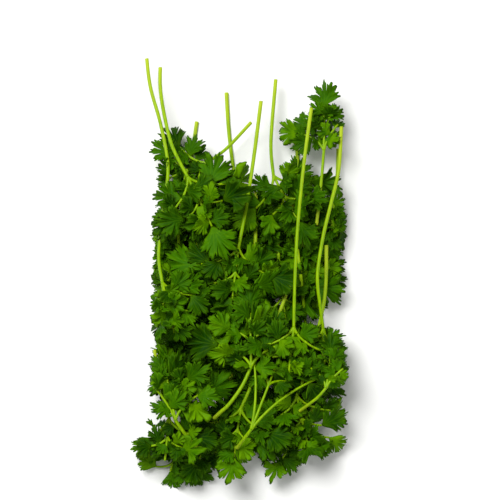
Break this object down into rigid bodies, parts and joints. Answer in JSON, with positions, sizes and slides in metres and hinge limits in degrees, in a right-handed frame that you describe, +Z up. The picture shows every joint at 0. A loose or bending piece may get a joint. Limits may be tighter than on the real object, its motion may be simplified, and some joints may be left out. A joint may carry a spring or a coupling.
{
  "type": "curly parsley bunch",
  "caption": "Loose bunch of cut curly parsley lying on a surface: leafy sprigs with curled, toothed leaflets on pale stalks.",
  "frame": {"origin": "middle of the bunch on the surface that it lies on", "axes": "+Z up from the surface, +Y along the bunch towards the cut ends of its stalks, +X across it"},
  "size_m": [0.0856, 0.172, 0.0264],
  "materials": {
    "leaf": "satin",
    "stalk": "satin"
  },
  "bodies": {
    "root": {"sprig_01": "leaf", "sprig_02": "leaf", "sprig_03": "leaf", "sprig_04": "leaf", "sprig_05": "leaf", "sprig_06": "leaf", "sprig_07": "leaf", "sprig_08": "leaf", "sprig_09": "leaf", "sprig_10": "leaf", "sprig_11": "leaf", "sprig_12": "leaf", "sprig_13": "leaf", "sprig_14": "leaf", "sprig_15": "leaf", "sprig_16": "leaf", "sprig_17": "leaf", "sprig_18": "leaf", "sprig_19": "leaf", "sprig_20": "leaf", "sprig_21": "leaf", "sprig_22": "leaf", "sprig_23": "leaf", "sprig_24": "leaf", "sprig_25": "leaf", "sprig_26": "leaf", "sprig_27": "leaf", "sprig_28": "leaf", "sprig_29": "leaf", "sprig_30": "leaf"}
  },
  "joints": []
}
